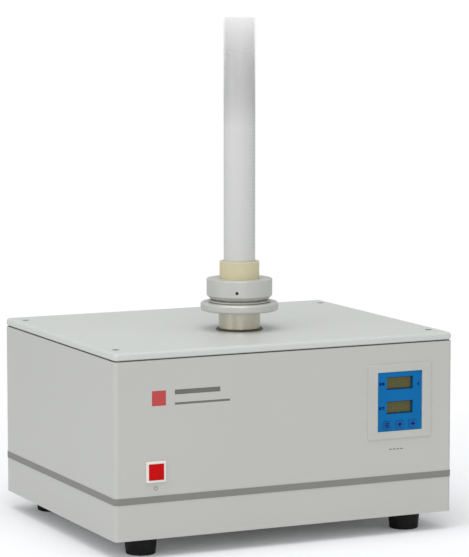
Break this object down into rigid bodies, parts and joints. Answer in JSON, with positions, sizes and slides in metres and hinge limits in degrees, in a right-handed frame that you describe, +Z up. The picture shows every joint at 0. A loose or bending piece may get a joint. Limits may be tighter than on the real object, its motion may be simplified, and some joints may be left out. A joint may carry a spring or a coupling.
{
  "type": "tapped density tester",
  "caption": "Bench tapped-density tester: painted case on rubber feet with counter and power button, and a cam-lifted holder that drops a measuring cylinder.",
  "frame": {"origin": "on the floor, under the middle of the case", "axes": "+Z up along the cylinder, +X to the right seen from the front, -Y towards the front"},
  "size_m": [0.3528, 0.2868, 0.4936],
  "materials": {
    "case_paint": "satin powder coat",
    "lid_paint": "satin powder coat",
    "band_paint": "matt",
    "foot_rubber": "matt",
    "seal_foam": "matt",
    "grommet_rubber": "satin",
    "black_screws": "oxide black",
    "bright_screws": "zinc plated",
    "ground_steel": "ground",
    "holder_metal": "satin anodised",
    "amber_plastic": "translucent satin",
    "cylinder_glass": "milky",
    "plate_steel": "zinc plated",
    "block_metal": "milled",
    "hard_steel": "ground and hardened",
    "bronze": "machined",
    "belt_rubber": "matt",
    "motor_paint": "satin",
    "sensor_plastic": "moulded",
    "supply_metal": "plain sheet",
    "board_green": "solder mask",
    "wire_cover": "satin",
    "inlet_plastic": "moulded",
    "pin_metal": "nickel plated",
    "switch_plastic": "moulded",
    "button_red": "lens",
    "bezel_plastic": "moulded",
    "counter_plastic": "moulded",
    "face_blue": "printed film",
    "display_glass": "liquid crystal",
    "key_blue": "moulded"
  },
  "bodies": {
    "root": {"base_tray": "case_paint", "bearing_block_left": "block_metal", "bearing_block_right": "block_metal", "body_shell": "case_paint", "bridge_pillars": "plate_steel", "bridge_plate": "plate_steel", "bridge_screws": "bright_screws", "cam_bearings": "hard_steel", "chassis_plate": "plate_steel", "chassis_screws": "bright_screws", "column_bushes": "bronze", "control_board": "board_green", "count_display": "display_glass", "counter_bezel": "bezel_plastic", "counter_case": "counter_plastic", "counter_face": "face_blue", "drive_belt": "belt_rubber", "foot_front_left": "foot_rubber", "foot_front_right": "foot_rubber", "foot_rear_left": "foot_rubber", "foot_rear_right": "foot_rubber", "foot_screws": "black_screws", "gear_motor": "motor_paint", "guide_column": "ground_steel", "inlet_pins": "pin_metal", "inlet_socket": "inlet_plastic", "lid_grommet": "grommet_rubber", "lid_plate": "lid_paint", "lid_screws": "black_screws", "lid_seal": "seal_foam", "motor_bracket": "plate_steel", "power_supply": "supply_metal", "preset_display": "display_glass", "rear_panel": "case_paint", "rear_panel_screws": "bright_screws", "rotation_stop": "plate_steel", "switch_frame": "switch_plastic", "tap_sensor": "sensor_plastic", "trim_band": "band_paint", "wiring_loom": "wire_cover"},
    "cam_unit": {"cam_shaft": "hard_steel", "snail_cam": "hard_steel", "cam_pulley": "block_metal", "flag_disc": "block_metal"},
    "motor_rotor": {"motor_shaft": "hard_steel", "motor_pulley": "block_metal"},
    "lift_unit": {"lift_shaft": "hard_steel", "roller_fork": "hard_steel", "roller_pin": "hard_steel", "platform_flange": "holder_metal", "holder_collar": "holder_metal", "collar_set_screw": "black_screws", "cushion_sleeve": "amber_plastic"},
    "roller": {"cam_roller": "hard_steel"},
    "cylinder": {"measuring_cylinder": "cylinder_glass"},
    "button_cap": {"power_button": "button_red"},
    "left_key": {"key_left": "key_blue"},
    "middle_key": {"key_middle": "key_blue"},
    "right_key": {"key_right": "key_blue"},
    "drawer": {"fuse_drawer": "inlet_plastic"}
  },
  "joints": [
    {"name": "cam_turn", "type": "hinge", "parent": "root", "child": "cam_unit", "pos_m": [0, -0.034, 0.075], "axis": [1, 0, 0], "range_deg": [0, 330]},
    {"name": "tap_lift", "type": "slide", "parent": "root", "child": "lift_unit", "axis": [0, 0, 1], "range_m": [0, 0.003]},
    {"name": "motor_turn", "type": "hinge", "parent": "root", "child": "motor_rotor", "pos_m": [0, 0.062, 0.075], "axis": [1, 0, 0], "range_deg": [0, 660]},
    {"name": "roller_spin", "type": "hinge", "parent": "lift_unit", "child": "roller", "pos_m": [0, -0.034, 0.1111], "axis": [1, 0, 0], "continuous": true},
    {"name": "cylinder_lift", "type": "slide", "parent": "lift_unit", "child": "cylinder", "axis": [0, 0, 1], "range_m": [0, 0.06]},
    {"name": "power_button_press", "type": "slide", "parent": "root", "child": "button_cap", "axis": [0, 1, 0], "range_m": [0, 0.002], "stiffness_N_per_m": 800},
    {"name": "left_key_press", "type": "slide", "parent": "root", "child": "left_key", "axis": [0, 1, 0], "range_m": [0, 0.0006], "stiffness_N_per_m": 1200},
    {"name": "middle_key_press", "type": "slide", "parent": "root", "child": "middle_key", "axis": [0, 1, 0], "range_m": [0, 0.0006], "stiffness_N_per_m": 1200},
    {"name": "right_key_press", "type": "slide", "parent": "root", "child": "right_key", "axis": [0, 1, 0], "range_m": [0, 0.0006], "stiffness_N_per_m": 1200},
    {"name": "fuse_drawer_slide", "type": "slide", "parent": "root", "child": "drawer", "axis": [0, 1, 0], "range_m": [0, 0.018]}
  ],
  "couplings": [
    {"joint": "tap_lift", "follows": "cam_turn", "m_per_rad": 0.00052087},
    {"joint": "motor_turn", "follows": "cam_turn", "ratio": 2}
  ]
}
